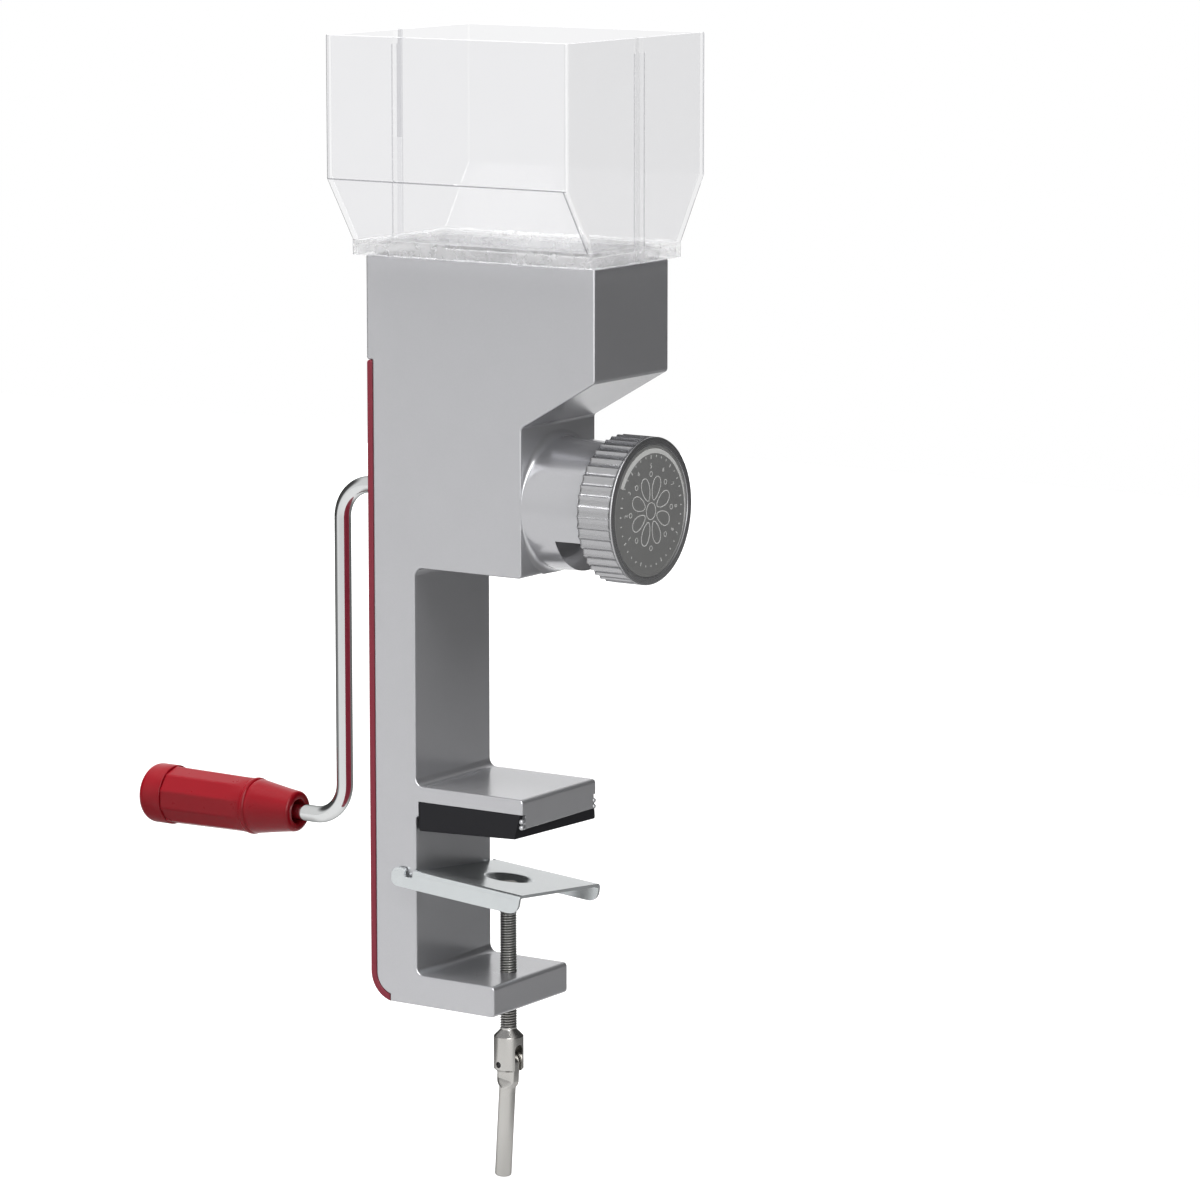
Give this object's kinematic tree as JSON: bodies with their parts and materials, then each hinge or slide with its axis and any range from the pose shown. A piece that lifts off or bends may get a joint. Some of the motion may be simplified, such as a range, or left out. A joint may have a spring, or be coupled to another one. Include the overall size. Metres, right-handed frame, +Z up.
{
  "type": "hand grain mill",
  "caption": "Table clamping hand mill for grain: cast C-shaped body, clear hopper, bent crank with grip, fluted adjusting knob, screw clamp with rocking pressure plate.",
  "frame": {"origin": "on the clamp screw's axis, at the underside of the rubber pad, which rests on the table top", "axes": "+Z up, +X forward to the adjusting knob, so -Y is the broad side at the picture's left"},
  "size_m": [0.2934, 0.1156, 0.5431],
  "materials": {
    "cast_aluminium": "satin, fine brushed casting",
    "turned_aluminium": "turned, semi bright",
    "red_cover": "satin moulded",
    "red_grip": "glossy moulded",
    "clear_plastic": "clear moulded",
    "black_rubber": "matt rubber",
    "zinc_plated": "zinc plated sheet",
    "clamp_steel": "nickel plated, turned",
    "bright_steel": "turned",
    "spring_steel": "blackened",
    "burr_steel": "hardened, ground",
    "bronze": "sintered",
    "chrome": "bright chrome",
    "grey_dial": "satin anodised"
  },
  "bodies": {
    "mill_body": {"body_casting": "cast_aluminium", "rear_cover": "red_cover", "cover_screws": "bright_steel", "rear_bush": "bronze", "guide_screw": "spring_steel", "rubber_pad": "black_rubber"},
    "hopper": {"hopper_near_half": "clear_plastic", "hopper_far_half": "clear_plastic"},
    "crank": {"drive_shaft": "bright_steel", "shaft_circlip": "spring_steel", "thrust_washer": "bright_steel", "feed_screw": "burr_steel", "burr_key": "bright_steel", "rotor_burr": "burr_steel", "rotor_circlip": "spring_steel", "crank_rod": "chrome", "crank_grub_screw": "spring_steel", "grip_circlip": "spring_steel"},
    "grip": {"crank_grip": "red_grip", "grip_cap": "red_grip"},
    "knob": {"adjusting_knob": "turned_aluminium", "knob_dial": "grey_dial", "knob_snap_ring": "spring_steel"},
    "carrier": {"burr_carrier": "turned_aluminium", "stator_burr": "burr_steel", "front_bush": "bronze"},
    "clamp_slider": {"plate_washer": "bright_steel"},
    "plate": {"pressure_plate": "zinc_plated"},
    "clamp_screw": {"clamp_spindle": "clamp_steel", "lever_pin": "spring_steel"},
    "lever": {"clamp_lever": "clamp_steel"}
  },
  "joints": [
    {"name": "crank_spin", "type": "hinge", "parent": "mill_body", "child": "crank", "pos_m": [-0.04, 0, 0.156], "axis": [1, 0, 0], "continuous": true},
    {"name": "grip_spin", "type": "hinge", "parent": "crank", "child": "grip", "pos_m": [-0.168, 0, -0.0075], "axis": [1, 0, 0], "continuous": true},
    {"name": "knob_turn", "type": "hinge", "parent": "mill_body", "child": "knob", "pos_m": [0.0665, 0, 0.156], "axis": [1, 0, 0], "range_deg": [-134, 134]},
    {"name": "burr_travel", "type": "slide", "parent": "mill_body", "child": "carrier", "axis": [1, 0, 0], "range_m": [-0.00075, 0.00075]},
    {"name": "clamp_travel", "type": "slide", "parent": "mill_body", "child": "clamp_slider", "axis": [0, 0, 1], "range_m": [-0.035, 0.012]},
    {"name": "plate_tilt", "type": "hinge", "parent": "clamp_slider", "child": "plate", "pos_m": [0, 0, -0.02995], "axis": [-0.766, 0.6428, 0], "range_deg": [-14.4, 0]},
    {"name": "screw_turn", "type": "hinge", "parent": "clamp_slider", "child": "clamp_screw", "pos_m": [0, 0, -0.05], "axis": [0, 0, 1], "continuous": true},
    {"name": "lever_fold", "type": "hinge", "parent": "clamp_screw", "child": "lever", "pos_m": [0, 0, -0.1151], "axis": [0.1736, 0.9848, 0], "range_deg": [-94, 86]},
    {"name": "hopper_lift", "type": "slide", "parent": "mill_body", "child": "hopper", "axis": [0, 0, 1], "range_m": [0, 0.06]}
  ],
  "couplings": [
    {"joint": "burr_travel", "follows": "knob_turn", "m_per_rad": -0.00031831},
    {"joint": "screw_turn", "follows": "clamp_travel", "rad_per_m": 5026.5}
  ]
}
